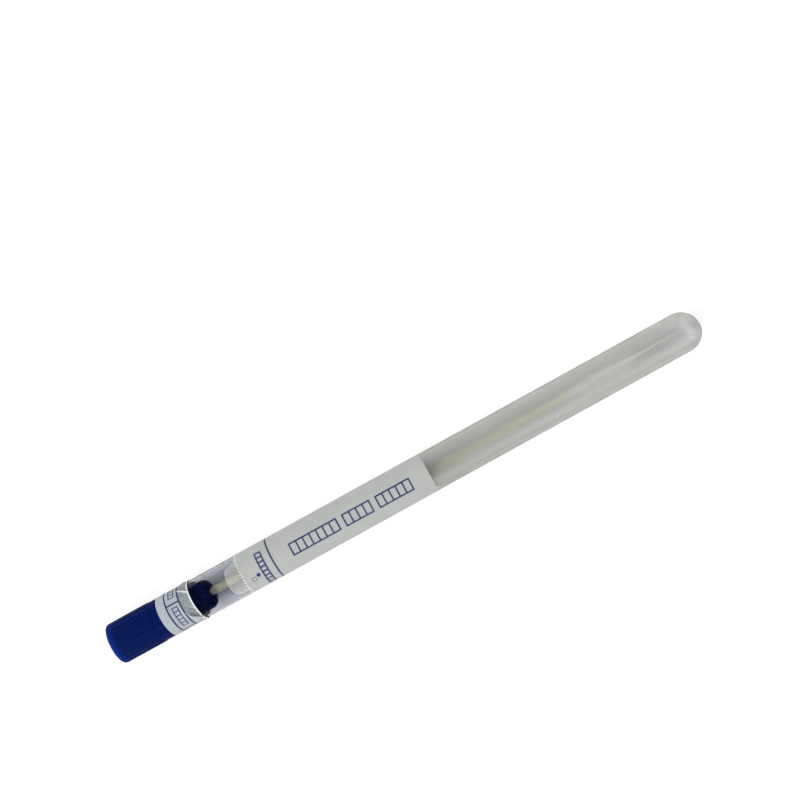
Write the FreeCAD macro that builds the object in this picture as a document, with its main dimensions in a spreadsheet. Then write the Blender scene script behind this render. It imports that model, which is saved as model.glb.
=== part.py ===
"""Specimen swab tube: a round-ended tube and a stopper that carries a cotton swab, sealed with printed film.

The tube lies along X with the stopper towards -X. Z is up and the origin is under the middle of the whole
object, on the surface that it lies on. Each piece is drawn along X about the shared axis, from its own end
nearest the stopper's flat end, and its placement puts it in line. Lengths are in millimetres and angles in
degrees.
"""

import FreeCAD, Part
import math
import os
import re

import Sketcher
from FreeCAD import Vector

DIMENSIONS = {
    # Tube: its outside, its walls at the mouth, past the step and at the round end, and the bore's step
    "tube_radius": 5.4,
    "mouth_wall": 0.45,
    "body_wall": 1.05,
    "end_wall": 1.2,
    "mouth_lip": 0.15,
    "step_depth": 20.7,
    "step_run": 0.6,
    # Stopper outside the tube: a ribbed grip, then a plain land that the film is stuck to
    "head_length": 18.0,
    "head_round": 1.0,
    "land_step": 0.05,
    "grip_length": 12.7,
    "rib_count": 24,
    "rib_height": 0.15,
    "rib_radius": 0.8,
    "rib_runout": 0.6,
    # Stopper inside the tube: plug, sealing bead, and a nose with a slot across its end that grips the stick
    "plug_clearance": 0.2,
    "plug_length": 4.9,
    "bead_clearance": 0.03,
    "bead_length": 2.85,
    "bead_flank": 0.3,
    "bead_round": 0.7,
    "nose_clearance": 0.85,
    "nose_draft": 0.1,
    "nose_length": 3.55,
    "nose_round": 2.25,
    "slot_depth": 0.8,
    "slot_clearance": 0.05,
    "socket_depth": 23.15,
    # Swab: a wooden stick and the cotton wound on its end
    "swab_length": 150.0,
    "stick_radius": 1.1,
    "stick_clearance": 0.01,
    "stick_chamfer": 0.1,
    "space_past_swab": 16.15,
    "bud_length": 21.0,
    "bud_radius": 2.85,
    "bud_shoulder": 0.8,
    "cotton_past_stick": 1.5,
    "cotton_at_neck": 0.45,
    "cotton_at_lip": 0.15,
    # Film: a strip that seals the joint and a label on the tube, parted by the tear line, each with a lap
    "film_thickness": 0.07,
    "glue_thickness": 0.02,
    "strip_clearance": 0.03,
    "strip_on_head": 3.3,
    "strip_on_tube": 20.0,
    "strip_slope": 0.3,
    "tear_gap": 0.05,
    "label_length": 55.1,
    "lap_width": 26.0,
    "lap_direction": 215.0,
}

# What follows from the driving dimensions. Stations are measured from the stopper's flat end.
DERIVED = {
    "mouth_radius": "=tube_radius - mouth_wall",
    "bore_radius": "=tube_radius - body_wall",
    "end_bore_radius": "=tube_radius - end_wall",
    "land_radius": "=tube_radius + land_step",
    "crest_radius": "=land_radius + rib_height",
    "rib_centre": "=crest_radius - rib_radius",
    "half_pitch": "=180deg / rib_count",
    "bead_start": "=head_length + plug_length",
    "bead_end": "=bead_start + bead_length",
    "nose_end": "=bead_end + nose_length",
    "nose_radius": "=mouth_radius - nose_clearance",
    "nose_end_radius": "=nose_radius - nose_draft",
    "socket_radius": "=stick_radius + stick_clearance",
    "stick_start": "=nose_end - socket_depth",
    "stick_length": "=swab_length - cotton_past_stick",
    "bud_start": "=stick_start + swab_length - bud_length",
    "tube_end": "=stick_start + swab_length + space_past_swab + end_wall",
    "tube_length": "=tube_end - head_length",
    "strip_start": "=head_length - strip_on_head",
    "strip_length": "=strip_on_head + strip_on_tube",
    "strip_head_radius": "=land_radius + glue_thickness",
    "strip_tube_radius": "=tube_radius + strip_clearance",
    "label_start": "=head_length + strip_on_tube + tear_gap",
    "label_radius": "=tube_radius + glue_thickness",
    "axis_height": "=rib_centre * cos(half_pitch) + rib_radius",
    "middle_station": "=tube_end / 2",
}

PASS = 1.0  # how far a cutting outline stands clear of what it cuts
START, END, CENTRE = 1, 2, 3  # Sketcher's numbers for the points of a line, an arc or a circle
ORIGIN = (-1, 1)  # Sketcher's name for a sketch's origin
TURNS_LEFT, TURNS_RIGHT = 1, -1  # the way that an arc goes, seen as the sketch is


def driving_sheet(doc):
    """The spreadsheet that every size is bound to."""
    sheet = doc.addObject("Spreadsheet::Sheet", "Sizes")
    for row, (alias, value) in enumerate((DIMENSIONS | DERIVED).items(), start=1):
        sheet.set(f"A{row}", alias)
        sheet.set(f"B{row}", str(value))
        sheet.setAlias(f"B{row}", alias)
    doc.recompute()
    return sheet


def sized(expression):
    """The expression with the sheet named before each alias, which has an underscore as no function has."""
    return re.sub(r"[a-z]+(_[a-z]+)+", r"Sizes.\g<0>", expression)


def value_of(owner, expression):
    """What an expression of the sheet's values comes to, as a plain number."""
    found = owner.evalExpression(sized(expression))
    return float(getattr(found, "Value", found))


def new_body(doc, name, station):
    """An empty body for one piece, with its own zero at that station along the shared axis."""
    body = doc.addObject("PartDesign::Body", name)
    body.Label = name
    body.setExpression("Placement.Base.x", sized(f"{station} - middle_station"))
    body.setExpression("Placement.Base.z", sized("axis_height"))
    return body


def new_sketch(body, name, plane):
    """A sketch on one of the body's own origin planes."""
    sketch = body.newObject("Sketcher::SketchObject", name)
    origin_plane = [part for part in body.Origin.OriginFeatures if part.Role == plane][0]
    sketch.AttachmentSupport = (origin_plane, "")
    sketch.MapMode = "FlatFace"
    return sketch


def bind(sketch, kind, places, expression):
    """A dimension of a sketch, bound to an expression of the sheet's values."""
    index = sketch.addConstraint(Sketcher.Constraint(kind, *places, value_of(sketch, expression)))
    sketch.setExpression(f"Constraints[{index}]", sized(expression))


def arc_between(start, end, radius, turn):
    """An arc under half a circle, and the numbers of the ends that it is entered and left by."""
    across = end - start
    side = Vector(-across.y, across.x, 0).normalize() * turn
    centre = (start + end) / 2 + side * math.sqrt(max(radius**2 - across.Length**2 / 4, 0.0))
    first, last = (start, end) if turn == TURNS_LEFT else (end, start)
    angles = [math.atan2(point.y - centre.y, point.x - centre.x) for point in (first, last)]
    if angles[1] <= angles[0]:
        angles[1] += 2 * math.pi
    circle = Part.Circle(centre, Vector(0, 0, 1), radius)
    ends = (START, END) if turn == TURNS_LEFT else (END, START)
    return Part.ArcOfCircle(circle, *angles), ends


def draw_outline(sketch, corners):
    """A closed outline. A corner is its place along the sketch's first and second axis and, where an arc
    leads on from it in place of a line, the arc's radius and the way it turns."""
    points = [Vector(value_of(sketch, corner[0]), value_of(sketch, corner[1]), 0) for corner in corners]
    edges = []
    for index, corner in enumerate(corners):
        start, end = points[index], points[(index + 1) % len(points)]
        if len(corner) == 2:
            edge, ends = Part.LineSegment(start, end), (START, END)
        else:
            edge, ends = arc_between(start, end, value_of(sketch, corner[2]), corner[3])
        edges.append((sketch.addGeometry(edge, False), *ends))
    for index, corner in enumerate(corners):
        edge, start, _ = edges[index]
        before, _, before_end = edges[index - 1]
        sketch.addConstraint(Sketcher.Constraint("Coincident", before, before_end, edge, start))
        bind(sketch, "DistanceX", (*ORIGIN, edge, start), corner[0])
        bind(sketch, "DistanceY", (*ORIGIN, edge, start), corner[1])
        if len(corner) > 2:
            bind(sketch, "Radius", (edge,), corner[2])


def turn_about_axis(body, name, corners, kind="Revolution", sweep="360", from_direction="0"):
    """A feature turned about the body's X axis, through the sweep, from an outline of stations and radii."""
    sketch = new_sketch(body, f"{name}_outline", "XY_Plane")
    sketch.AttachmentOffset = FreeCAD.Placement(Vector(), FreeCAD.Rotation(Vector(1, 0, 0), 0))
    sketch.setExpression("AttachmentOffset.Rotation.Angle", sized(from_direction))
    draw_outline(sketch, corners)
    feature = body.newObject(f"PartDesign::{kind}", name)
    feature.Profile = sketch
    feature.ReferenceAxis = (sketch, ["H_Axis"])
    feature.setExpression("Angle", sized(sweep))
    return feature


def make_tube(doc):
    """The tube, moulded in one: a thin mouth, a step in the bore, a thicker body and a hemispherical end."""
    body = new_body(doc, "tube", "head_length")
    round_start = "tube_length - tube_radius"
    wall = [
        ("0", "mouth_radius + mouth_lip"),
        ("0", "tube_radius - mouth_lip", "mouth_lip", TURNS_RIGHT),
        ("mouth_lip", "tube_radius"),
        (round_start, "tube_radius", "tube_radius", TURNS_RIGHT),
        ("tube_length", "0"),
        ("tube_length - end_wall", "0", "end_bore_radius", TURNS_LEFT),
        (round_start, "end_bore_radius"),
        ("step_depth + step_run", "bore_radius"),
        ("step_depth", "mouth_radius"),
        ("mouth_lip", "mouth_radius", "mouth_lip", TURNS_RIGHT),
    ]
    turn_about_axis(body, "tube_wall", wall)
    return body


def make_cap(doc):
    """The stopper, moulded in one: ribbed grip, land, plug, bead and slotted nose with a blind socket."""
    body = new_body(doc, "cap", "0")
    core = [
        ("0", "0"),
        ("0", "land_radius"),
        ("head_length", "land_radius"),
        ("head_length", "mouth_radius - plug_clearance"),
        ("bead_start", "mouth_radius - plug_clearance"),
        ("bead_start + bead_flank", "mouth_radius - bead_clearance"),
        ("bead_end - bead_round", "mouth_radius - bead_clearance", "bead_round", TURNS_RIGHT),
        ("bead_end", "mouth_radius - bead_clearance - bead_round"),
        ("bead_end", "nose_radius"),
        ("nose_end - nose_round", "nose_end_radius", "nose_round", TURNS_RIGHT),
        ("nose_end", "nose_end_radius - nose_round"),
        ("nose_end", "socket_radius"),
        ("stick_start", "socket_radius"),
        ("stick_start", "0"),
    ]
    turn_about_axis(body, "cap_core", core)
    add_ribs(doc, body)
    cut_slot(body)
    return body


def add_ribs(doc, body):
    """The grip's ribs, rounded over the stopper's end and run out into the land. It rests on two of them."""
    sketch = new_sketch(body, "rib_section", "YZ_Plane")
    places = ("rib_centre * sin(half_pitch)", "-rib_centre * cos(half_pitch)")
    centre = Vector(*(value_of(sketch, place) for place in places), 0)
    circle = Part.Circle(centre, Vector(0, 0, 1), value_of(sketch, "rib_radius"))
    edge = sketch.addGeometry(circle, False)
    bind(sketch, "DistanceX", (*ORIGIN, edge, CENTRE), places[0])
    bind(sketch, "DistanceY", (*ORIGIN, edge, CENTRE), places[1])
    bind(sketch, "Radius", (edge,), "rib_radius")
    rib = body.newObject("PartDesign::Pad", "rib")
    rib.Profile = sketch
    rib.setExpression("Length", sized("grip_length"))
    doc.recompute()
    ribs = body.newObject("PartDesign::PolarPattern", "ribs")
    ribs.Originals = [rib]
    ribs.Axis = ([part for part in body.Origin.OriginFeatures if part.Role == "X_Axis"][0], [""])
    ribs.Angle = 360
    ribs.setExpression("Occurrences", sized("rib_count"))
    body.Tip = ribs
    doc.recompute()
    past_end = f"-{PASS}"
    past_crest = f"crest_radius + {PASS}"
    end_corner = [
        ("0", "crest_radius - head_round", "head_round", TURNS_RIGHT),
        ("head_round", "crest_radius"),
        ("head_round", past_crest),
        (past_end, past_crest),
        (past_end, "crest_radius - head_round"),
    ]
    turn_about_axis(body, "end_rounding", end_corner, kind="Groove")
    runout = [
        ("grip_length - rib_runout", "crest_radius"),
        ("grip_length", "land_radius"),
        ("grip_length", past_crest),
        ("grip_length - rib_runout", past_crest),
    ]
    turn_about_axis(body, "rib_ends", runout, kind="Groove")


def cut_slot(body):
    """The slot across the nose's end, as wide as the stick."""
    sketch = new_sketch(body, "slot_outline", "XY_Plane")
    half_width = "(stick_radius + slot_clearance)"
    inner, outer = "nose_end - slot_depth", f"nose_end + {PASS}"
    corners = [
        (inner, f"-{half_width}"),
        (outer, f"-{half_width}"),
        (outer, half_width),
        (inner, half_width),
    ]
    draw_outline(sketch, corners)
    slot = body.newObject("PartDesign::Pocket", "slot")
    slot.Profile = sketch
    slot.Type = "ThroughAll"
    slot.Midplane = True


def make_stick(doc):
    """The wooden stick, lightly chamfered, from the blind end of the stopper's socket into the cotton."""
    body = new_body(doc, "swab_stick", "stick_start")
    shaft = [
        ("0", "0"),
        ("0", "stick_radius - stick_chamfer"),
        ("stick_chamfer", "stick_radius"),
        ("stick_length - stick_chamfer", "stick_radius"),
        ("stick_length", "stick_radius - stick_chamfer"),
        ("stick_length", "0"),
    ]
    turn_about_axis(body, "shaft", shaft)
    return body


def make_bud(doc):
    """The wound cotton, which swells from a neck on the stick to a round tip past the stick's end."""
    body = new_body(doc, "cotton_bud", "bud_start")
    cotton = [
        ("0", "socket_radius"),
        ("0", "stick_radius + cotton_at_lip"),
        ("bud_shoulder", "stick_radius + cotton_at_neck"),
        ("bud_length - bud_radius", "bud_radius", "bud_radius", TURNS_RIGHT),
        ("bud_length", "0"),
        ("bud_length - cotton_past_stick", "0"),
        ("bud_length - cotton_past_stick", "socket_radius"),
    ]
    turn_about_axis(body, "cotton", cotton)
    return body


def wrap_film(body, name, line):
    """Film wrapped once round and lapped over itself. The line is its inner face, as stations and radii."""

    def layer(lower, upper):
        inside = [(station, f"{radius} + {lower}") for station, radius in line]
        outside = [(station, f"{radius} + {upper}") for station, radius in reversed(line)]
        return inside + outside

    turn_about_axis(body, f"{name}_wrap", layer("0", "film_thickness"))
    lap = layer("film_thickness", "2 * film_thickness")
    turn_about_axis(body, f"{name}_lap", lap, sweep="lap_width", from_direction="lap_direction")


def make_strip(doc):
    """The film that seals the joint, from the stopper's land to the tear line. It moves with the stopper."""
    body = new_body(doc, "seal_strip", "strip_start")
    line = [
        ("0", "strip_head_radius"),
        ("strip_on_head", "strip_head_radius"),
        ("strip_on_head + strip_slope", "strip_tube_radius"),
        ("strip_length", "strip_tube_radius"),
    ]
    wrap_film(body, "strip", line)
    return body


def make_label(doc):
    """The film that stays on the tube, from the tear line on."""
    body = new_body(doc, "tube_label", "label_start")
    wrap_film(body, "label", [("0", "label_radius"), ("label_length", "label_radius")])
    return body


def check_document(doc, pieces):
    """Stops the build if any object failed or any piece has no valid solid of its own."""
    failed = [thing.Name for thing in doc.Objects if {"Invalid", "Error"} & set(thing.State)]
    if failed:
        raise RuntimeError(f"failed objects: {failed}")
    for piece in pieces:
        shape = piece.Shape
        if shape.isNull() or not shape.isValid() or len(shape.Solids) != 1:
            raise RuntimeError(f"{piece.Label} is not one valid solid")


def main():
    doc = FreeCAD.newDocument("specimen_swab_tube")
    driving_sheet(doc)
    makers = (make_tube, make_cap, make_stick, make_bud, make_strip, make_label)
    pieces = [make(doc) for make in makers]
    doc.recompute()
    check_document(doc, pieces)
    os.makedirs("parts", exist_ok=True)
    for piece in pieces:
        piece.Shape.exportStep(f"parts/{piece.Label}.step")
        box = piece.Shape.optimalBoundingBox(False)
        print(
            f"{piece.Label}: {piece.Shape.Volume:.2f} mm3, x {box.XMin:.3f} to {box.XMax:.3f}, "
            f"z {box.ZMin:.3f} to {box.ZMax:.3f}"
        )


main()
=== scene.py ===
"""Looks of a specimen swab tube, made around its construction model.

A frosted tube holds a cotton swab on a wooden stick, whose other end sits in a navy blue stopper. A strip
of film seals the joint of the two, and a printed label lies next to it. Both films are wrapped round once
and lapped.
"""

import math
import random

import bpy
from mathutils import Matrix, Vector, noise


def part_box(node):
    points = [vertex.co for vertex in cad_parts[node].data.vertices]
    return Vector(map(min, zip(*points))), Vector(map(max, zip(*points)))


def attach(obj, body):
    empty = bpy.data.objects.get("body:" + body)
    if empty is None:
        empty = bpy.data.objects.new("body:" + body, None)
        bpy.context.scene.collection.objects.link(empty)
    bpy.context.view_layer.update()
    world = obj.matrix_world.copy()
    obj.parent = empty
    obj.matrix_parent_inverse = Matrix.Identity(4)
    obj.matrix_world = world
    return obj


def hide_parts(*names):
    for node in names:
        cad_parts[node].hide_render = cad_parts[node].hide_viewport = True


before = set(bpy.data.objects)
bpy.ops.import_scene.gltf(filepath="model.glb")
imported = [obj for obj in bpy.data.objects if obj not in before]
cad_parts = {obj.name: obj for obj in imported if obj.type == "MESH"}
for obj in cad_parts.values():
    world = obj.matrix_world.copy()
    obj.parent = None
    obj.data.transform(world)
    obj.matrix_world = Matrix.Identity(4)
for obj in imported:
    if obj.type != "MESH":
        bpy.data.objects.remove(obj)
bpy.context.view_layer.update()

# --------------------------------------------------------------------------------------------------
# Sizes. The frame gives the places, and stations are millimetres from the stopper's flat end.
# --------------------------------------------------------------------------------------------------

MM = 0.001

cap_low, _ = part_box("cap")
tube_low, tube_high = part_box("tube")
strip_low, strip_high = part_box("seal_strip")
label_low, label_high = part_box("tube_label")
stick_low, stick_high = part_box("swab_stick")
bud_low, bud_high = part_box("cotton_bud")

AXIS_HEIGHT = (stick_low.z + stick_high.z) / 2
AXIS = Vector((0.0, 0.0, AXIS_HEIGHT))
TUBE_RADIUS = (tube_high.z - tube_low.z) / 2
STICK_RADIUS = (stick_high.z - stick_low.z) / 2
BUD_RADIUS = (bud_high.z - bud_low.z) / 2
TUBE_DOME = tube_high.x - TUBE_RADIUS  # X of the centre of the tube's round end
BUD_DOME = bud_high.x - BUD_RADIUS  # X of the centre of the cotton's round end

FILM = 0.07 * MM  # thickness of both films
STRIP_RADIUS = TUBE_RADIUS + 0.03 * MM  # inner face, over the tube
STRIP_HEAD_RADIUS = TUBE_RADIUS + 0.07 * MM  # inner face, over the stopper's land
LABEL_RADIUS = TUBE_RADIUS + 0.02 * MM  # inner face
SEGMENTS = 240  # round the axis, so one step is 0.14 mm of film
LAP_STEPS = 17  # with the step that climbs on to the start, 2.5 mm of film
LAP_START = math.radians(215)  # from +Y towards +Z, low on the far side from the print

# The strip has come loose from the tube on a tongue, from this station to the tear line. Its end is an arc
# that falls back by the bow, in millimetres, towards its sides. They run along the tube past round corners.
TONGUE_END = 34.3
TONGUE_BOW = 0.95
TONGUE_CORNER = 4.0
TONGUE_HALF_ANGLE = math.radians(49)
TONGUE_TURN = math.radians(2)  # its middle, from the top line towards -Y


def station_x(station):
    """The X of a station."""
    return cap_low.x + station * MM


def station_of(point):
    """The station of a point, in millimetres."""
    return (point.x - cap_low.x) / MM


def turn_of(point):
    """The angle of a point about the axis, from the top line, positive towards -Y."""
    return math.atan2(-point.y, point.z - AXIS_HEIGHT)


def step_arc(radius):
    """The length of one segment's arc, in millimetres."""
    return radius * 2 * math.pi / SEGMENTS / MM


# --------------------------------------------------------------------------------------------------
# Materials
# --------------------------------------------------------------------------------------------------


def linear(hex_colour):
    """An sRGB hex colour as the linear RGBA that shaders take."""
    channels = [int(hex_colour[i : i + 2], 16) / 255 for i in (1, 3, 5)]
    return [c / 12.92 if c <= 0.04045 else ((c + 0.055) / 1.055) ** 2.4 for c in channels] + [1.0]


def add(tree, kind, inputs=None, **settings):
    """Adds a node with its settings. An input takes a plain value, or the output of another node."""
    node = tree.nodes.new(kind)
    for name, value in settings.items():
        setattr(node, name, value)
    for key, value in (inputs or {}).items():
        if isinstance(value, bpy.types.Node):
            value = value.outputs[0]
        if isinstance(value, bpy.types.NodeSocket):
            tree.links.new(value, node.inputs[key])
        else:
            node.inputs[key].default_value = value
    return node


def new_material(name):
    """An empty node material and its tree."""
    material = bpy.data.materials.new(name)
    material.use_nodes = True
    material.node_tree.nodes.clear()
    return material, material.node_tree


def per_mm(size):
    """The scale of a pattern whose features are this many millimetres across."""
    return 1 / (size * MM)


def past_tongue_edge(tree, parts):
    """How far along the tube a place is past the edge of the tongue on which the strip has come loose."""
    height = add(tree, "ShaderNodeMath", {0: parts["Z"], 1: AXIS_HEIGHT}, operation="SUBTRACT")
    turn = add(tree, "ShaderNodeMath", {0: parts["Y"], 1: height}, operation="ARCTAN2")
    from_middle = add(tree, "ShaderNodeMath", {0: turn, 1: TONGUE_TURN}, operation="ADD")
    either_way = add(tree, "ShaderNodeMath", {0: from_middle}, operation="ABSOLUTE")
    share = add(tree, "ShaderNodeMath", {0: either_way, 1: TONGUE_HALF_ANGLE}, operation="DIVIDE")
    square = add(tree, "ShaderNodeMath", {0: share, 1: 2.0}, operation="POWER")
    steep = add(tree, "ShaderNodeMath", {0: share, 1: 16.0}, operation="POWER")
    bowed = {0: square, 1: TONGUE_BOW * MM, 2: station_x(TONGUE_END)}
    arc = add(tree, "ShaderNodeMath", bowed, operation="MULTIPLY_ADD")
    cornered = {0: steep, 1: TONGUE_CORNER * MM, 2: arc}
    sides = add(tree, "ShaderNodeMath", cornered, operation="MULTIPLY_ADD")
    edge = add(tree, "ShaderNodeMath", {0: sides, 1: label_low.x}, operation="MINIMUM")
    return add(tree, "ShaderNodeMath", {0: parts["X"], 1: edge}, operation="SUBTRACT")


def outer_face(tree, place, parts):
    """One on the tube's outside, and zero in its bore."""
    # The nearest point of the centre line, which ends at the centre of the round end
    level = add(tree, "ShaderNodeMath", {0: parts["X"], 1: TUBE_DOME}, operation="MINIMUM")
    nearest = add(tree, "ShaderNodeCombineXYZ", {"X": level, "Z": AXIS_HEIGHT})
    away = add(tree, "ShaderNodeVectorMath", {0: place, 1: nearest}, operation="DISTANCE")
    skin = {"From Min": TUBE_RADIUS - 0.25 * MM, "From Max": TUBE_RADIUS - 0.15 * MM}
    return add(tree, "ShaderNodeMapRange", {"Value": away.outputs["Value"], **skin})


def matt_polypropylene():
    """Injection-moulded natural polypropylene, matt outside: milky, and clear where glued film wets it."""
    material, tree = new_material("matt_polypropylene")
    place = add(tree, "ShaderNodeTexCoord").outputs["Object"]
    parts = add(tree, "ShaderNodeSeparateXYZ", {"Vector": place}).outputs
    along = parts["X"]
    past = past_tongue_edge(tree, parts)
    outer = outer_face(tree, place, parts)
    dry = add(tree, "ShaderNodeMapRange", {"Value": past, "From Max": 0.15 * MM, "To Max": outer})
    past_tear = {"Value": along, "From Min": label_low.x, "From Max": label_low.x + MM, "To Max": outer}
    bare = add(tree, "ShaderNodeMapRange", past_tear)
    # It is smooth where it is wet, less so under the loose tongue, and matt from the tear line on
    patch = add(tree, "ShaderNodeMapRange", {"Value": dry, "To Min": 0.03, "To Max": 0.1})
    matt = add(tree, "ShaderNodeMix", {"Factor": bare, "A": patch, "B": 0.41})
    # How much light passes: less along the body, more in the round end, and least at the tongue's edge
    veil = add(tree, "ShaderNodeMapRange", {"Value": dry, "To Min": 1.0, "To Max": 0.77})
    body_range = {"Value": along, "From Min": label_high.x, "From Max": label_high.x + 45 * MM}
    milky = add(tree, "ShaderNodeMapRange", {**body_range, "To Min": 0.94, "To Max": 0.83})
    end_range = {"Value": along, "From Min": TUBE_DOME - 3 * MM, "From Max": TUBE_DOME + 3 * MM}
    milky = add(tree, "ShaderNodeMapRange", {**end_range, "To Min": milky, "To Max": 0.95})
    milk = add(tree, "ShaderNodeMix", {"Factor": bare, "A": veil, "B": milky})
    from_edge = add(tree, "ShaderNodeMath", {0: past}, operation="ABSOLUTE")
    rim = add(tree, "ShaderNodeMapRange", {"Value": from_edge, "From Max": 0.2 * MM, "To Min": 0.65})
    passing = add(tree, "ShaderNodeMath", {0: milk, 1: rim}, operation="MULTIPLY")
    clouds = add(tree, "ShaderNodeTexNoise", {"Vector": place, "Scale": per_mm(7), "Detail": 3.0})
    body = add(
        tree,
        "ShaderNodeMix",
        {"Factor": clouds, "A": linear("#f9faf3"), "B": linear("#fefff9")},
        data_type="RGBA",
    )
    colour = add(
        tree,
        "ShaderNodeMix",
        {"Factor": dry, "A": linear("#ebedf2"), "B": body.outputs["Result"]},
        data_type="RGBA",
    )
    gloss = add(tree, "ShaderNodeMapRange", {"Value": bare, "To Max": 0.7})
    grain = add(tree, "ShaderNodeTexNoise", {"Vector": place, "Scale": per_mm(0.35), "Detail": 2.0})
    sanded = add(tree, "ShaderNodeMath", {0: grain, 1: bare}, operation="MULTIPLY")
    relief = add(tree, "ShaderNodeBump", {"Height": sanded, "Strength": 0.25, "Distance": 0.01 * MM})
    shader = add(
        tree,
        "ShaderNodeBsdfPrincipled",
        {
            "Base Color": colour.outputs["Result"],
            "Roughness": matt,
            "IOR": 1.49,
            "Transmission Weight": passing,
            "Coat Weight": gloss,
            "Coat Roughness": 0.19,
            "Normal": relief,
        },
    )
    add(tree, "ShaderNodeOutputMaterial", {"Surface": shader})
    return material


def blue_polyethylene():
    """Injection-moulded polyethylene, dyed deep navy: satin, with a fine mould grain, flow streaks, and light
    painted as a brighter blue on the rim of its flat end.
    """
    material, tree = new_material("blue_polyethylene")
    place = add(tree, "ShaderNodeTexCoord").outputs["Object"]
    flow = add(tree, "ShaderNodeMapping", {"Vector": place, "Scale": (0.15, 1.0, 1.0)})
    streaks = add(tree, "ShaderNodeTexNoise", {"Vector": flow, "Scale": per_mm(1.2), "Detail": 3.0})
    colour = add(
        tree,
        "ShaderNodeMix",
        {"Factor": streaks, "A": linear("#00134d"), "B": linear("#001957")},
        data_type="RGBA",
    )
    # Painted light: the rounded rim of the flat end is a brighter blue, for the light it catches from past
    # the stopper's end
    along = add(tree, "ShaderNodeSeparateXYZ", {"Vector": place}).outputs["X"]
    rim = add(
        tree,
        "ShaderNodeMapRange",
        {"Value": along, "From Min": cap_low.x + 2.6 * MM, "From Max": cap_low.x + 0.8 * MM},
        interpolation_type="SMOOTHSTEP",
    )
    colour = add(
        tree,
        "ShaderNodeMix",
        {"Factor": rim, "A": colour.outputs["Result"], "B": linear("#00267a")},
        data_type="RGBA",
    )
    satin = add(tree, "ShaderNodeMapRange", {"Value": streaks, "To Min": 0.34, "To Max": 0.46})
    grain = add(tree, "ShaderNodeTexNoise", {"Vector": place, "Scale": per_mm(0.3), "Detail": 2.0})
    relief = add(tree, "ShaderNodeBump", {"Height": grain, "Strength": 0.3, "Distance": 0.01 * MM})
    shader = add(
        tree,
        "ShaderNodeBsdfPrincipled",
        {
            "Base Color": colour.outputs["Result"],
            "Roughness": satin,
            "IOR": 1.51,
            "Specular IOR Level": 0.05,
            "Normal": relief,
        },
    )
    add(tree, "ShaderNodeOutputMaterial", {"Surface": shader})
    return material


def birch():
    """Sanded birch dowel, bare: pale straw wood with fine grain lines along it and short darker pores."""
    material, tree = new_material("birch")
    place = add(tree, "ShaderNodeTexCoord").outputs["Object"]
    lengthwise = add(tree, "ShaderNodeMapping", {"Vector": place, "Scale": (0.04, 1.0, 1.0)})
    grain = add(tree, "ShaderNodeTexNoise", {"Vector": lengthwise, "Scale": per_mm(0.35), "Detail": 4.0})
    bands = add(tree, "ShaderNodeMapRange", {"Value": grain, "From Min": 0.35, "From Max": 0.65})
    wood = add(
        tree,
        "ShaderNodeMix",
        {"Factor": bands, "A": linear("#e0dcb4"), "B": linear("#f0edd2")},
        data_type="RGBA",
    )
    relief = add(tree, "ShaderNodeBump", {"Height": grain, "Strength": 0.4, "Distance": 0.03 * MM})
    shader = add(
        tree,
        "ShaderNodeBsdfPrincipled",
        {"Base Color": wood.outputs["Result"], "Roughness": 0.62, "Normal": relief},
    )
    add(tree, "ShaderNodeOutputMaterial", {"Surface": shader})
    return material


def cotton():
    """Bleached cotton, carded and wound: white, soft and dull, with a fibrous fleck and a little sheen."""
    material, tree = new_material("cotton")
    place = add(tree, "ShaderNodeTexCoord").outputs["Object"]
    fibre = add(tree, "ShaderNodeMapping", {"Vector": place, "Scale": (1.0, 0.3, 0.3)})
    fleck = add(tree, "ShaderNodeTexNoise", {"Vector": fibre, "Scale": per_mm(0.25), "Detail": 4.0})
    white = add(
        tree,
        "ShaderNodeMix",
        {"Factor": fleck, "A": linear("#e4e4df"), "B": linear("#f2f2ed")},
        data_type="RGBA",
    )
    relief = add(tree, "ShaderNodeBump", {"Height": fleck, "Strength": 0.6, "Distance": 0.06 * MM})
    shader = add(
        tree,
        "ShaderNodeBsdfPrincipled",
        {"Base Color": white.outputs["Result"], "Roughness": 0.95, "Sheen Weight": 0.3, "Normal": relief},
    )
    add(tree, "ShaderNodeOutputMaterial", {"Surface": shader})
    return material


def white_film(name, dull, bright):
    """White-printed polypropylene film: satin, very slightly uneven from the glue under it."""
    material, tree = new_material(name)
    place = add(tree, "ShaderNodeTexCoord").outputs["Object"]
    ripple = add(tree, "ShaderNodeTexNoise", {"Vector": place, "Scale": per_mm(3.5), "Detail": 2.0})
    white = add(
        tree,
        "ShaderNodeMix",
        {"Factor": ripple, "A": linear(dull), "B": linear(bright)},
        data_type="RGBA",
    )
    satin = add(tree, "ShaderNodeMapRange", {"Value": ripple, "To Min": 0.34, "To Max": 0.5})
    relief = add(tree, "ShaderNodeBump", {"Height": ripple, "Strength": 0.3, "Distance": 0.1 * MM})
    shader = add(
        tree,
        "ShaderNodeBsdfPrincipled",
        {"Base Color": white.outputs["Result"], "Roughness": satin, "Normal": relief},
    )
    add(tree, "ShaderNodeOutputMaterial", {"Surface": shader})
    return material


def navy_ink():
    """Flexographic ink on film: navy, a little thin in places, and smoother than the film round it."""
    material, tree = new_material("navy_ink")
    place = add(tree, "ShaderNodeTexCoord").outputs["Object"]
    thin = add(tree, "ShaderNodeTexNoise", {"Vector": place, "Scale": per_mm(0.6), "Detail": 3.0})
    navy = add(
        tree,
        "ShaderNodeMix",
        {"Factor": thin, "A": linear("#222b5b"), "B": linear("#354276")},
        data_type="RGBA",
    )
    shader = add(tree, "ShaderNodeBsdfPrincipled", {"Base Color": navy.outputs["Result"], "Roughness": 0.3})
    add(tree, "ShaderNodeOutputMaterial", {"Surface": shader})
    return material


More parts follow.
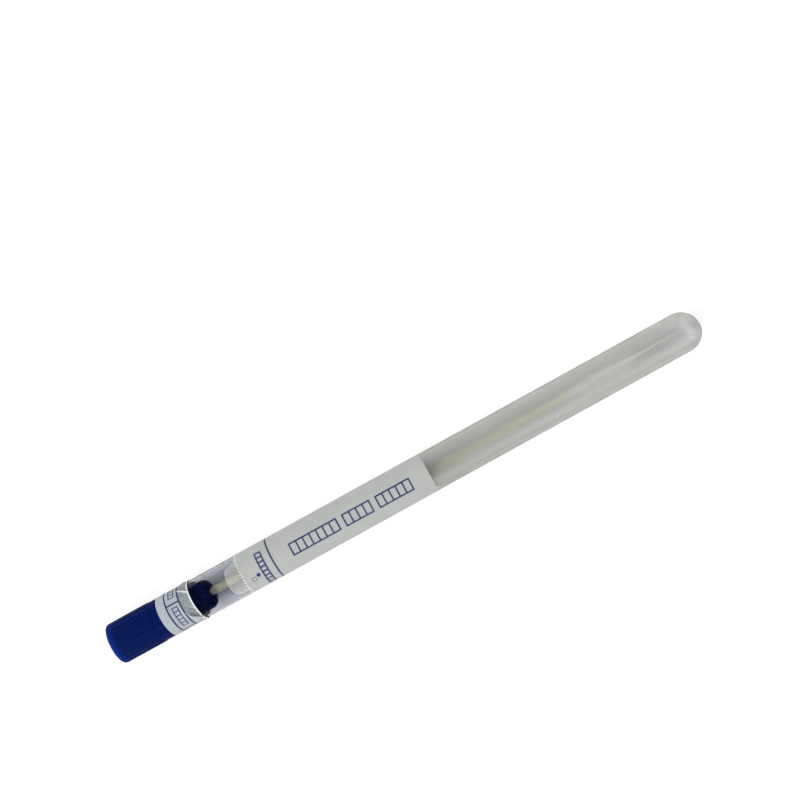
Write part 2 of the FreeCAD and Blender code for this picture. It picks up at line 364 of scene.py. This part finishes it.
def clear_film():
    """Clear polypropylene film: nearly invisible face on, with a gloss that grows towards its edges."""
    material, tree = new_material("clear_film")
    place = add(tree, "ShaderNodeTexCoord").outputs["Object"]
    haze = add(tree, "ShaderNodeTexNoise", {"Vector": place, "Scale": per_mm(2.5), "Detail": 2.0})
    smooth = add(tree, "ShaderNodeMapRange", {"Value": haze, "To Min": 0.08, "To Max": 0.2})
    slant = add(tree, "ShaderNodeLayerWeight", {"Blend": 0.25}).outputs["Facing"]
    cover = add(tree, "ShaderNodeMapRange", {"Value": slant, "From Min": 0.5, "To Max": 0.03})
    shader = add(
        tree,
        "ShaderNodeBsdfPrincipled",
        {"Base Color": linear("#e4e6e6"), "Roughness": smooth, "IOR": 1.49, "Alpha": cover},
    )
    add(tree, "ShaderNodeOutputMaterial", {"Surface": shader})
    return material


# --------------------------------------------------------------------------------------------------
# Modelling
# --------------------------------------------------------------------------------------------------


def dress(piece, *materials):
    """Gives a piece its materials, in order, and nothing else."""
    piece.data.materials.clear()
    for material in materials:
        piece.data.materials.append(material)


def start_editing(piece):
    """Makes a piece the one selected object and opens its mesh with nothing selected."""
    if bpy.context.mode != "OBJECT":
        bpy.ops.object.mode_set(mode="OBJECT")
    bpy.ops.object.select_all(action="DESELECT")
    piece.select_set(True)
    bpy.context.view_layer.objects.active = piece
    bpy.ops.object.mode_set(mode="EDIT")
    bpy.ops.mesh.select_all(action="DESELECT")


def select_points(piece, wanted):
    """Selects the vertices whose place passes a test."""
    bpy.ops.mesh.select_mode(type="VERT")
    bpy.ops.mesh.select_all(action="DESELECT")
    bpy.ops.object.mode_set(mode="OBJECT")
    for vertex in piece.data.vertices:
        vertex.select = wanted(vertex.co)
    bpy.ops.object.mode_set(mode="EDIT")


def select_faces(piece, wanted):
    """Selects the faces whose centre passes a test."""
    bpy.ops.mesh.select_mode(type="FACE")
    bpy.ops.mesh.select_all(action="DESELECT")
    bpy.ops.object.mode_set(mode="OBJECT")
    for face in piece.data.polygons:
        face.select = wanted(face.center)
    bpy.ops.object.mode_set(mode="EDIT")


def straight_line(name, low_x, high_x, y, z):
    """One edge along X, which is what stays of a plane once its other side is deleted."""
    length = high_x - low_x
    bpy.ops.object.select_all(action="DESELECT")
    bpy.ops.mesh.primitive_plane_add(size=length, location=((low_x + high_x) / 2, y - length / 2, z))
    piece = bpy.context.object
    piece.name = name
    bpy.ops.object.transform_apply(location=True)
    start_editing(piece)
    select_points(piece, lambda point: point.y < y - length / 2)
    bpy.ops.mesh.delete(type="VERT")
    return piece


def apply_modifier(piece, name, kind, **settings):
    """Adds a modifier and applies it."""
    start_editing(piece)
    bpy.ops.object.mode_set(mode="OBJECT")
    modifier = piece.modifiers.new(name, kind)
    for key, value in settings.items():
        setattr(modifier, key, value)
    bpy.ops.object.modifier_apply(modifier=name)


def face_outwards(piece):
    """Merges doubles and turns every face away from the axis."""
    start_editing(piece)
    bpy.ops.mesh.select_all(action="SELECT")
    bpy.ops.mesh.remove_doubles(threshold=0.002 * MM)
    bpy.ops.mesh.normals_make_consistent(inside=False)
    bpy.ops.object.mode_set(mode="OBJECT")


def wrap_film(name, low_x, high_x, radius, cuts):
    """Film wound once round the axis and lapped over its own start, with a line of vertices at each cut."""
    y = radius * math.cos(LAP_START)
    z = AXIS_HEIGHT + radius * math.sin(LAP_START)
    film = straight_line(name, low_x, high_x, y, z)
    for cut in sorted(set(cuts)):
        bpy.ops.mesh.select_all(action="SELECT")
        bpy.ops.mesh.bisect(plane_co=(station_x(cut), 0, 0), plane_no=(1, 0, 0))
    bpy.ops.mesh.select_all(action="SELECT")
    step = 2 * math.pi / SEGMENTS
    about = {"center": AXIS, "axis": (1, 0, 0)}
    bpy.ops.mesh.spin(steps=SEGMENTS - 1, angle=-step * (SEGMENTS - 1), **about)
    # The film climbs on to its own start in one step, and lies on it from there
    bpy.ops.mesh.spin(steps=1, angle=-step, **about)
    climb = (radius + FILM) / radius
    bpy.ops.transform.resize(value=(1, climb, climb), center_override=AXIS)
    bpy.ops.mesh.spin(steps=LAP_STEPS, angle=-step * LAP_STEPS, **about)
    bpy.ops.object.mode_set(mode="OBJECT")
    return film


def put_material(piece, index, wanted):
    """Gives the faces that pass a test one of the piece's materials."""
    start_editing(piece)
    select_faces(piece, wanted)
    piece.active_material_index = index
    bpy.ops.object.material_slot_assign()
    bpy.ops.object.mode_set(mode="OBJECT")


def print_marks(piece, index, radius, marks):
    """Inks the faces inside each mark: two stations and two arcs from the top line, in millimetres."""
    arc = radius / MM

    def inked(centre):
        station, turn = station_of(centre), turn_of(centre) * arc
        return any(low < station < high and left < turn < right for low, high, left, right in marks)

    put_material(piece, index, inked)


def finish_film(piece):
    """Gives a film its thickness, outwards, and smooth shading."""
    face_outwards(piece)
    apply_modifier(piece, "thickness", "SOLIDIFY", thickness=FILM, offset=1.0, use_even_offset=False)
    bpy.ops.object.shade_smooth_by_angle(angle=math.radians(35))


# --------------------------------------------------------------------------------------------------
# Print. It is plain ruling: rings, boxes, a dot and empty write-in cells.
# --------------------------------------------------------------------------------------------------

ALL_ROUND = (-99.0, 99.0)
RING_LINE = 0.45


def ring(station):
    """A line right round the film."""
    return [(station - RING_LINE / 2, station + RING_LINE / 2, *ALL_ROUND)]


def comb_along(start, cells, pitch, low_arc, high_arc, line):
    """A row of empty cells that runs along the tube."""
    end = start + cells * pitch
    marks = [(start, end + line, low_arc, low_arc + line), (start, end + line, high_arc - line, high_arc)]
    for number in range(cells + 1):
        place = start + number * pitch
        marks.append((place, place + line, low_arc, high_arc))
    return marks


def comb_round(low, high, start_arc, cells, pitch, line):
    """A row of empty cells that runs round the tube."""
    end_arc = start_arc + cells * pitch
    marks = [(low, low + line, start_arc, end_arc + line), (high - line, high, start_arc, end_arc + line)]
    for number in range(cells + 1):
        place = start_arc + number * pitch
        marks.append((low, high, place, place + line))
    return marks


def ends_of(marks):
    """The stations at which the film has to be cut for these marks."""
    return [round(end, 3) for low, high, *_ in marks for end in (low, high)]


# --------------------------------------------------------------------------------------------------
# Pieces
# --------------------------------------------------------------------------------------------------

LABEL_START = station_of(label_low)
TOOTH = 0.6  # length of the teeth that the tear line leaves, in millimetres
CELL = 1.94  # length of a write-in cell of the title, in millimetres


def label_marks(step):
    """The label's print: a ring, three groups of title cells, a row of number cells and a tick box."""
    across = {"low_arc": -11.5 * step, "high_arc": 13.5 * step, "line": 3 * step}
    title = []
    place = 52.6
    for cells in (7, 4, 5):
        title += comb_along(start=place, cells=cells, pitch=CELL, **across)
        place += (cells + 1) * CELL
    number = comb_round(low=43.4, high=45.4, start_arc=-26.5 * step, cells=8, pitch=9 * step, line=3 * step)
    box = comb_round(low=40.2, high=41.4, start_arc=12.5 * step, cells=1, pitch=7 * step, line=step)
    return ring(47.3) + title + number + box


def cut_teeth(piece):
    """Leaves teeth at the tear line, three steps wide with gaps of three, which stand a little proud."""
    start_editing(piece)

    def in_gap(centre):
        number = (turn_of(centre) + math.pi) / (2 * math.pi) * SEGMENTS / 6
        return station_of(centre) < LABEL_START + TOOTH and number % 1 > 0.5

    select_faces(piece, in_gap)
    bpy.ops.mesh.delete(type="FACE")
    select_points(piece, lambda point: station_of(point) < LABEL_START + TOOTH / 2)
    lift = (LABEL_RADIUS + 0.05 * MM) / LABEL_RADIUS
    bpy.ops.transform.resize(value=(1, lift, lift), center_override=AXIS)
    bpy.ops.object.mode_set(mode="OBJECT")


def label():
    """The label that stays on the tube, with its torn edge, its number cells and its write-in cells."""
    ink_slot, edge_and_highlight_slot = 1, 2
    step = step_arc(LABEL_RADIUS)
    marks = label_marks(step)
    dot_station, dot_arc, dot_radius = 42.3, 12 * step, 0.55
    # Rows as far apart as the steps round the tube, so that the dot's edge is even
    dot_rows = [dot_station + row * step for row in range(-4, 5)]
    cuts = ends_of(marks) + dot_rows + [LABEL_START + TOOTH, LABEL_START + TOOTH / 2]
    piece = wrap_film("label", label_low.x, label_high.x, LABEL_RADIUS, cuts)
    dress(piece, white_film("label_film", "#b1b4b1", "#b9bbb8"), INK, TORN_EDGE_AND_HIGHLIGHT)
    print_marks(piece, ink_slot, LABEL_RADIUS, marks)
    put_material(piece, edge_and_highlight_slot, lambda centre: station_of(centre) < LABEL_START + TOOTH)

    def in_dot(centre):
        arc = turn_of(centre) * LABEL_RADIUS / MM
        return math.hypot(station_of(centre) - dot_station, arc - dot_arc) < dot_radius

    put_material(piece, ink_slot, in_dot)
    cut_teeth(piece)
    finish_film(piece)
    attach(piece, "tube_and_label")
    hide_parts("tube_label")


# Creases where the white end of the strip wrinkles: start and end as station and arc, height, and half
# width, in millimetres. A ridge has a positive height, and a valley a negative one. A highlight is painted
# along the first in a whiter film, and a shadow along the fourth, where the print is left off.
CREASES = [
    ((21.3, -5.2), (23.6, -3.5), 0.20, 0.42),
    ((21.4, -0.5), (23.9, 1.6), -0.20, 0.40),
    ((21.3, 1.4), (24.0, 3.8), 0.34, 0.42),
    ((21.6, 2.2), (24.0, 4.45), -0.42, 0.30),
    ((21.6, 3.0), (24.0, 5.1), 0.20, 0.46),
    ((22.0, 5.2), (24.0, 7.4), 0.20, 0.50),
    ((21.3, 8.6), (23.8, 9.8), -0.12, 0.50),
    ((21.6, -9.8), (23.9, -7.4), 0.22, 0.50),
    ((21.5, -7.4), (23.9, -6.6), -0.14, 0.40),
    ((21.4, 11.2), (23.9, 13.0), 0.24, 0.50),
    ((21.7, -14.8), (23.7, -12.2), 0.20, 0.45),
]
PAINTED_HIGHLIGHT_RIDGE, PAINTED_SHADOW_VALLEY = CREASES[0], CREASES[3]
SHOULDER = round(station_of(tube_low), 3)  # where the stopper's head meets the tube's mouth
CREASE_START = 21.0
BAND_END = 24.1  # the strip is printed white up to here and clear from here on
LIP = 0.3  # the last of the white end, which stands up at its edge and has a highlight painted on it
SAME = 0.01  # stations this close are the same


def crease_gap(crease, station, arc):
    """The distance of a place from a crease's line, in millimetres."""
    start, end = Vector(crease[0]), Vector(crease[1])
    along = end - start
    away = Vector((station, arc)) - start
    share = min(max(away.dot(along) / along.length_squared, 0.0), 1.0)
    return (away - along * share).length


def strip_arc(point):
    """The arc from the top line to a point of the flat strip, in millimetres."""
    return turn_of(point) * STRIP_RADIUS / MM


def crease_height(station, arc):
    """How far the film stands off, in millimetres: it comes away towards its edge, and is creased there."""
    share = min(max((station - CREASE_START) / (BAND_END - CREASE_START), 0.0), 1.0)
    lift = 0.2 * share * max(math.cos(1.1 * arc * MM / STRIP_RADIUS), 0.0)
    for crease in CREASES:
        height, width = crease[2:]
        lift += height * max(1 - crease_gap(crease, station, arc) / width, 0.0)
    # Underneath, the tube's weight presses it flat
    return max(lift, 0.0) * min(max(2.6 - abs(arc) / (STRIP_RADIUS / MM), 0.0), 1.0)


def on_crease(crease, point, reach):
    """Whether a point of the flat strip is within reach of a crease's line, in millimetres."""
    return crease_gap(crease, station_of(point), strip_arc(point)) < reach


def before_shadow_valley(point):
    """Whether a point of the flat strip lies on the +Y side of the valley along which a shadow is painted."""
    (start, start_arc), (end, end_arc) = PAINTED_SHADOW_VALLEY[:2]
    share = (station_of(point) - start) / (end - start)
    return strip_arc(point) < start_arc + share * (end_arc - start_arc)


def strip_marks(low_ring, high_ring):
    """The strip's print: two rings, and four boxes between them with a row of five cells in each."""
    step = step_arc(STRIP_RADIUS)
    line = 3 * step
    cells = {"low": 18.3, "high": 20.0, "cells": 5, "pitch": 8 * step, "line": 2 * step}
    marks = ring(low_ring) + ring(high_ring)
    for box in range(-2, 2):
        edge = (box * SEGMENTS // 4 - 18.5) * step
        marks.append((low_ring, high_ring, edge, edge + line))
        marks += comb_round(start_arc=edge + line + 5 * step, **cells)
    return marks


def shape_strip(piece):
    """Steps the strip up on to the stopper's land, wrinkles its white end and turns up a lip at its edge.

    The white end also bulges along the tube and runs a little askew.
    """
    for vertex in piece.data.vertices:
        station = station_of(vertex.co)
        arc = strip_arc(vertex.co)
        lift = 0.0
        if station < SHOULDER + SAME:
            lift = (STRIP_HEAD_RADIUS - STRIP_RADIUS) / MM
        elif station < BAND_END + SAME:
            lift = crease_height(station, arc)
            if station > BAND_END - LIP:
                lift += 0.08 * min(lift / 0.1, 1.0)
        if station < BAND_END + 0.1:
            turn = arc * MM / STRIP_RADIUS
            vertex.co.x += (0.2 + 0.5 * (1 - math.cos(turn)) + 0.2 * math.sin(turn)) * MM
        scale = 1 + lift * MM / STRIP_RADIUS
        vertex.co.y *= scale
        vertex.co.z = AXIS_HEIGHT + (vertex.co.z - AXIS_HEIGHT) * scale


def strip():
    """The strip that seals the joint: a white printed end, wrinkled at its edge, and a clear rest."""
    ink_slot, clear_slot, edge_and_highlight_slot, painted_shade_slot = 1, 2, 3, 4
    low_ring, high_ring = 17.2, 20.9
    marks = strip_marks(low_ring, high_ring)
    crease_rows = [CREASE_START + 0.2 * row for row in range(15)]
    land_rows = [SHOULDER, SHOULDER + 0.3]
    lip_rows = [BAND_END - 0.25, BAND_END, BAND_END + 2 * SAME]
    cuts = ends_of(marks) + crease_rows + land_rows + lip_rows
    piece = wrap_film("strip", strip_low.x, strip_high.x, STRIP_RADIUS, cuts)
    # Painted shade: a darker copy of the strip's white film
    loose = white_film("painted_shade_film", "#80878b", "#90979b")
    dress(piece, white_film("strip_film", "#a8afb3", "#b7bec1"), INK, clear_film(), TORN_EDGE_AND_HIGHLIGHT, loose)
    print_marks(piece, ink_slot, STRIP_RADIUS, marks)

    def in_painted_shade(centre):
        return station_of(centre) > high_ring + RING_LINE / 2 and before_shadow_valley(centre)

    # Painted shade: off the tube the white film is painted darker, for the light that nothing behind it sends
    # back
    put_material(piece, painted_shade_slot, in_painted_shade)
    put_material(piece, clear_slot, lambda centre: station_of(centre) > BAND_END + SAME)
    # Painted highlight: the lifted lip at the white end's edge, and the first crease's ridge, get the
    # brighter white film
    put_material(piece, edge_and_highlight_slot, lambda centre: BAND_END - LIP < station_of(centre) < BAND_END + SAME)
    put_material(piece, edge_and_highlight_slot, lambda centre: on_crease(PAINTED_HIGHLIGHT_RIDGE, centre, 0.14))
    # Painted shadow: along the fourth crease the print is left off, so that the fold shows dark through the
    # clear film
    put_material(piece, clear_slot, lambda centre: on_crease(PAINTED_SHADOW_VALLEY, centre, 0.2))
    shape_strip(piece)
    finish_film(piece)
    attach(piece, "stopper_and_swab")
    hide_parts("seal_strip")


def bud_outline():
    """The outer face of the wound cotton from lip to tip, as distances from its neck and radii."""
    shoulder, neck_radius, lip_radius = 0.8 * MM, STICK_RADIUS + 0.45 * MM, STICK_RADIUS + 0.15 * MM
    dome = BUD_DOME - bud_low.x
    points = [(0.0, lip_radius), (0.2 * MM, lip_radius + 0.2 * MM), (shoulder, neck_radius)]
    taper_rows, dome_rows = 84, 22
    for row in range(1, taper_rows + 1):
        share = row / taper_rows
        radius = neck_radius + (BUD_RADIUS - neck_radius) * share
        points.append((shoulder + (dome - shoulder) * share, radius))
    for row in range(1, dome_rows + 1):
        angle = math.pi / 2 * row / dome_rows
        points.append((dome + BUD_RADIUS * math.sin(angle), max(BUD_RADIUS * math.cos(angle), 0.0)))
    return points


def turned_shell(name, path, steps):
    """A closed shell, turned about the axis from a path of distances from the bud's neck and radii."""
    start = Vector((bud_low.x + path[0][0], 0, AXIS_HEIGHT + path[0][1]))
    # Of a plane with one corner at the start, that corner is kept and drawn out along the path
    half = 0.5 * MM
    bpy.ops.object.select_all(action="DESELECT")
    bpy.ops.mesh.primitive_plane_add(size=2 * half, location=start + Vector((half, half, 0)))
    piece = bpy.context.object
    piece.name = name
    bpy.ops.object.transform_apply(location=True)
    start_editing(piece)
    select_points(piece, lambda point: (point - start).length > half)
    bpy.ops.mesh.delete(type="VERT")
    bpy.ops.mesh.select_all(action="SELECT")
    for (x0, r0), (x1, r1) in zip(path, path[1:]):
        bpy.ops.mesh.extrude_region_move(TRANSFORM_OT_translate={"value": (x1 - x0, 0, r1 - r0)})
    bpy.ops.mesh.select_all(action="SELECT")
    bpy.ops.mesh.spin(steps=steps, angle=2 * math.pi, center=AXIS, axis=(1, 0, 0))
    bpy.ops.object.mode_set(mode="OBJECT")
    face_outwards(piece)
    return piece


def wound_relief(distance, turn, point):
    """How far winding and fibres move the surface of the cotton, in metres."""
    pitch, cross_pitch = 1.7 * MM, 2.3 * MM
    wave = math.sin(2 * math.pi * distance / pitch + turn)
    cross = math.sin(2 * math.pi * distance / cross_pitch - 2 * turn)
    lumps = noise.noise(point / (1.4 * MM))
    fluff = noise.noise(point / (0.35 * MM))
    return (0.035 * wave + 0.02 * cross + 0.05 * lumps + 0.03 * fluff - 0.06) * MM


def wind_cotton(piece, bore, stick_end):
    """Gives the outer face its winding and fibres, which grow from nothing at the neck. The bore stays."""
    margin, growth = 0.02 * MM, 1.5 * MM
    for vertex in piece.data.vertices:
        away = vertex.co - AXIS
        distance = vertex.co.x - bud_low.x
        if math.hypot(away.y, away.z) < bore + margin and distance < stick_end + margin:
            continue
        centre = Vector((min(vertex.co.x, BUD_DOME), 0, AXIS_HEIGHT))
        outward = (vertex.co - centre).normalized()
        grow = min(distance / growth, 1.0)
        vertex.co += outward * wound_relief(distance, math.atan2(away.y, away.z), vertex.co) * grow


def cotton_bud():
    """Cotton wound on the stick's end, from a thin neck to a round tip, with a bore for the stick."""
    bore = STICK_RADIUS + 0.01 * MM
    stick_end = stick_high.x - bud_low.x
    outer = bud_outline()
    path = [(stick_end, 0.0), (stick_end, bore), (0.0, bore)] + outer
    piece = turned_shell("cotton_tip", path, steps=112)
    wind_cotton(piece, bore, stick_end)
    bpy.ops.object.shade_smooth()
    dress(piece, COTTON)
    fibres = loose_fibres(outer)
    bpy.ops.object.select_all(action="DESELECT")
    fibres.select_set(True)
    piece.select_set(True)
    bpy.context.view_layer.objects.active = piece
    bpy.ops.object.join()
    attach(piece, "stopper_and_swab")
    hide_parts("cotton_bud")


def loose_fibres(outer):
    """Single fibres that lie on the cotton and stand off it in low loops, twice as thick as real ones."""
    rng = random.Random(7)
    data = bpy.data.curves.new("loose_fibres", "CURVE")
    data.dimensions = "3D"
    data.bevel_depth = 0.016 * MM
    data.bevel_resolution = 0
    data.use_fill_caps = True
    data.resolution_u = 3
    for _ in range(240):
        row = rng.randrange(4, len(outer) - 6)
        distance, radius = outer[row]
        turn = rng.uniform(0, 2 * math.pi)
        lean = rng.uniform(-0.7, 0.7)
        reach = rng.uniform(1.2, 3.2) * MM
        height = rng.uniform(0.05, 0.35) * MM
        spline = data.splines.new("NURBS")
        spline.points.add(4)
        for number, point in enumerate(spline.points):
            share = number / 4
            x = min(distance + (share - 0.5) * reach * math.sin(lean), outer[-6][0])
            angle = turn + (share - 0.5) * reach * math.cos(lean) / radius
            off = radius - 0.08 * MM + height * math.sin(math.pi * share) * rng.uniform(0.7, 1.2)
            point.co = (bud_low.x + x, off * math.cos(angle), AXIS_HEIGHT + off * math.sin(angle), 1.0)
        spline.order_u = 3
        spline.use_endpoint_u = True
    fibres = bpy.data.objects.new("loose_fibres", data)
    bpy.context.scene.collection.objects.link(fibres)
    bpy.ops.object.select_all(action="DESELECT")
    fibres.select_set(True)
    bpy.context.view_layer.objects.active = fibres
    bpy.ops.object.convert(target="MESH")
    fibres = bpy.context.object
    dress(fibres, COTTON)
    return fibres


INK = navy_ink()
# A brighter white film: the label's own torn teeth, and a painted highlight on the strip's lip and first
# ridge
TORN_EDGE_AND_HIGHLIGHT = white_film("torn_edge_and_painted_highlight", "#e0e3df", "#eceeea")
COTTON = cotton()

dress(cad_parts["tube"], matt_polypropylene())
dress(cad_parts["cap"], blue_polyethylene())
dress(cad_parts["swab_stick"], birch())
label()
strip()
cotton_bud()

# --------------------------------------------------------------------------------------------------
# Floor, light and camera
# --------------------------------------------------------------------------------------------------


def white_floor():
    """A plain floor, nearly white to the camera with a soft shadow, and darker to rays by way of the tube."""
    bpy.ops.object.select_all(action="DESELECT")
    bpy.ops.mesh.primitive_plane_add(size=6.0)
    ground = bpy.context.object
    ground.name = "floor"
    material, tree = new_material("white_floor")
    path = add(tree, "ShaderNodeLightPath").outputs
    direct, through = path["Is Camera Ray"], path["Is Transmission Ray"]
    part = add(tree, "ShaderNodeMath", {0: through, 1: 0.1}, operation="MULTIPLY")
    seen = add(tree, "ShaderNodeMath", {0: direct, 1: part}, operation="MAXIMUM")
    glow = add(tree, "ShaderNodeMapRange", {"Value": seen, "To Max": 0.74})
    # Rays through the tube find it dark beside it and past its end, or the round sides and end would glow
    place = add(tree, "ShaderNodeTexCoord").outputs["Object"]
    parts = add(tree, "ShaderNodeSeparateXYZ", {"Vector": place}).outputs
    beside = add(tree, "ShaderNodeMath", {0: parts["Y"]}, operation="ABSOLUTE")
    past_end = add(tree, "ShaderNodeMath", {0: parts["X"], 1: tube_high.x}, operation="SUBTRACT")
    distance = add(tree, "ShaderNodeMath", {0: beside, 1: past_end}, operation="MAXIMUM")
    away = {"Value": distance, "From Min": 7 * MM, "From Max": 16 * MM, "To Max": through}
    far = add(tree, "ShaderNodeMapRange", away)
    # Rays that mirror off the object find it partly dark. They are the glossy rays, less those that went
    # through rough plastic, which count as glossy too.
    only_mirrored = {0: path["Is Glossy Ray"], 1: through}
    mirrored = add(tree, "ShaderNodeMath", only_mirrored, operation="SUBTRACT", use_clamp=True)
    dimmed = add(tree, "ShaderNodeMath", {0: mirrored, 1: 0.6}, operation="MULTIPLY")
    dark = add(tree, "ShaderNodeMath", {0: far, 1: dimmed}, operation="MAXIMUM")
    plain = add(tree, "ShaderNodeMapRange", {"Value": direct, "To Min": 0.95, "To Max": 0.36})
    grey = add(tree, "ShaderNodeMapRange", {"Value": dark, "To Min": plain, "To Max": 0.16})
    lit = add(tree, "ShaderNodeBsdfDiffuse", {"Color": grey})
    shine = add(tree, "ShaderNodeEmission", {"Strength": glow})
    surface = add(tree, "ShaderNodeAddShader", {0: lit, 1: shine})
    add(tree, "ShaderNodeOutputMaterial", {"Surface": surface})
    dress(ground, material)


def soft_room():
    """White to the camera. Its light comes from past both of the tube's ends, so its side mirrors none."""
    room = bpy.data.worlds.new("soft_room")
    bpy.context.scene.world = room
    room.use_nodes = True
    tree = room.node_tree
    tree.nodes.clear()
    way = add(tree, "ShaderNodeTexCoord").outputs["Generated"]
    toward = add(tree, "ShaderNodeSeparateXYZ", {"Vector": way}).outputs
    along = add(tree, "ShaderNodeMath", {0: toward["X"]}, operation="ABSOLUTE")
    ends = add(
        tree,
        "ShaderNodeMapRange",
        {"Value": along, "From Min": 0.34, "From Max": 0.62, "To Min": 0.01, "To Max": 2.3},
        interpolation_type="SMOOTHSTEP",
    )
    across = {"Value": toward["Y"], "From Min": -1.0, "To Min": 0.98, "To Max": 1.18}
    sides = add(tree, "ShaderNodeMapRange", across)
    balanced = add(tree, "ShaderNodeMath", {0: ends, 1: sides}, operation="MULTIPLY")
    # It is dimmer past the round end, which would show it as a bright crescent
    lengthwise = {"Value": toward["X"], "From Min": -1.0, "To Min": 1.5, "To Max": 0.3}
    fall = add(tree, "ShaderNodeMapRange", lengthwise)
    level = add(tree, "ShaderNodeMath", {0: balanced, 1: fall}, operation="MULTIPLY")
    seen = add(tree, "ShaderNodeLightPath").outputs["Is Camera Ray"]
    strength = add(tree, "ShaderNodeMix", {"Factor": seen, "A": level, "B": 1.0})
    light = add(tree, "ShaderNodeBackground", {"Color": linear("#ffffff"), "Strength": strength})
    add(tree, "ShaderNodeOutputWorld", {"Surface": light})


def lamp(name, place, aim, width, depth, power):
    """A rectangular soft box that looks at a point."""
    bpy.ops.object.light_add(type="AREA", location=place)
    light = bpy.context.object
    light.name = name
    light.data.shape = "RECTANGLE"
    light.data.size = width
    light.data.size_y = depth
    light.data.energy = power
    light.rotation_euler = (Vector(aim) - Vector(place)).to_track_quat("-Z", "Y").to_euler()


def camera():
    """Looks straight down from 305 mm over the axis, turned so that the stopper is at the lower left."""
    data = bpy.data.cameras.new("camera")
    data.lens = 52.6
    data.sensor_width = 36
    eye = bpy.data.objects.new("camera", data)
    bpy.context.scene.collection.objects.link(eye)
    eye.location = (8.9 * MM, 20.03 * MM, AXIS_HEIGHT + 304.6 * MM)
    eye.rotation_euler = (0, 0, math.radians(-28.88))
    bpy.context.scene.camera = eye


white_floor()
soft_room()
lamp("key", place=(-0.7, -0.65, 0.75), aim=(0, 0, 0), width=0.5, depth=0.5, power=3.1)
# Its narrow mirror image is the highlight line along the body
lamp("overhead", place=(0.139, 0.097, 0.36), aim=(0.139, 0.097, 0), width=0.06, depth=0.005, power=0.06)
camera()
bpy.context.scene.view_settings.view_transform = "Standard"
